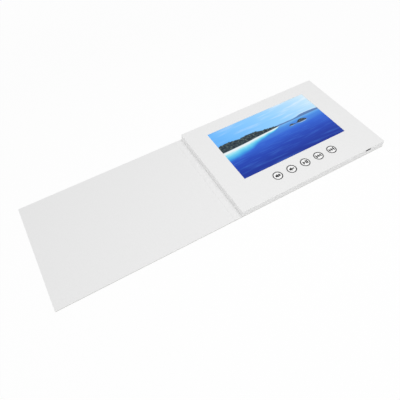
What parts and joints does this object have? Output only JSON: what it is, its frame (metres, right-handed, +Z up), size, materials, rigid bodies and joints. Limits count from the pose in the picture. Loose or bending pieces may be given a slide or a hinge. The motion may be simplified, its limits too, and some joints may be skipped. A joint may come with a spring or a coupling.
{
  "type": "lcd video brochure",
  "caption": "Card brochure with a thin cover leaf that folds over a thick panel holding a lit screen, a row of round buttons and a charging socket.",
  "frame": {"origin": "middle of the spine strip on the underside, the bottom centre of the open brochure", "axes": "+X from the cover leaf to the screen panel, +Y to the back edge, +Z up"},
  "size_m": [0.4302, 0.148, 0.0095],
  "materials": {
    "coated_card": "satin",
    "face_card_stock": "satin",
    "grey_board": "matte",
    "white_foam": "matte",
    "tray_steel": "satin",
    "light_guide": "gloss",
    "screen_glass": "gloss",
    "black_tape": "matte",
    "amber_flex": "satin",
    "connector_plastic": "matte",
    "green_board": "satin",
    "chip_plastic": "matte",
    "white_ribbon": "satin",
    "socket_steel": "satin",
    "tongue_plastic": "matte",
    "gold_contact": "polished",
    "switch_plastic": "matte",
    "battery_foil": "satin",
    "battery_tape": "satin",
    "speaker_plastic": "matte",
    "magnet_nickel": "polished",
    "cone_film": "satin",
    "red_lead": "satin",
    "black_lead": "satin",
    "key_plastic": "satin",
    "plunger_plastic": "matte"
  },
  "bodies": {
    "panel": {"base_wrap": "coated_card", "base_board": "grey_board", "face_card": "face_card_stock", "lower_foam": "white_foam", "upper_foam": "white_foam", "screen_tray": "tray_steel", "backlight": "light_guide", "screen_glass": "screen_glass", "screen_tape": "black_tape", "screen_flex": "amber_flex", "screen_connector": "connector_plastic", "main_board": "green_board", "key_board": "green_board", "main_chip": "chip_plastic", "memory_chip": "chip_plastic", "lid_sensor": "chip_plastic", "key_ribbon": "white_ribbon", "usb_socket": "socket_steel", "usb_tongue": "tongue_plastic", "usb_contacts": "gold_contact", "key_switches": "switch_plastic", "battery": "battery_foil", "battery_board": "battery_tape", "speaker_basket": "speaker_plastic", "speaker_magnet": "magnet_nickel", "speaker_cone": "cone_film", "battery_lead_positive": "red_lead", "battery_lead_negative": "black_lead", "speaker_lead_positive": "red_lead", "speaker_lead_negative": "black_lead"},
    "spine": {"spine_wrap": "coated_card", "spine_board": "grey_board", "spine_lining": "coated_card"},
    "cover": {"cover_wrap": "coated_card", "cover_board": "grey_board", "cover_lining": "coated_card", "cover_magnet": "magnet_nickel"},
    "volume_up_button": {"volume_up_key": "key_plastic", "volume_up_plunger": "plunger_plastic"},
    "volume_down_button": {"volume_down_key": "key_plastic", "volume_down_plunger": "plunger_plastic"},
    "play_pause_button": {"play_pause_key": "key_plastic", "play_pause_plunger": "plunger_plastic"},
    "previous_button": {"previous_key": "key_plastic", "previous_plunger": "plunger_plastic"},
    "next_button": {"next_key": "key_plastic", "next_plunger": "plunger_plastic"}
  },
  "joints": [
    {"name": "spine_fold", "type": "hinge", "parent": "panel", "child": "spine", "pos_m": [0.00465, 0, 0.00085], "axis": [0, 1, 0], "range_deg": [0, 90]},
    {"name": "cover_fold", "type": "hinge", "parent": "spine", "child": "cover", "pos_m": [-0.00465, 0, 0.00085], "axis": [0, 1, 0], "range_deg": [0, 90]},
    {"name": "volume_up_press", "type": "slide", "parent": "panel", "child": "volume_up_button", "axis": [0, 0, -1], "range_m": [0, 0.0003], "stiffness_N_per_m": 2000},
    {"name": "volume_down_press", "type": "slide", "parent": "panel", "child": "volume_down_button", "axis": [0, 0, -1], "range_m": [0, 0.0003], "stiffness_N_per_m": 2000},
    {"name": "play_pause_press", "type": "slide", "parent": "panel", "child": "play_pause_button", "axis": [0, 0, -1], "range_m": [0, 0.0003], "stiffness_N_per_m": 2000},
    {"name": "previous_press", "type": "slide", "parent": "panel", "child": "previous_button", "axis": [0, 0, -1], "range_m": [0, 0.0003], "stiffness_N_per_m": 2000},
    {"name": "next_press", "type": "slide", "parent": "panel", "child": "next_button", "axis": [0, 0, -1], "range_m": [0, 0.0003], "stiffness_N_per_m": 2000}
  ]
}
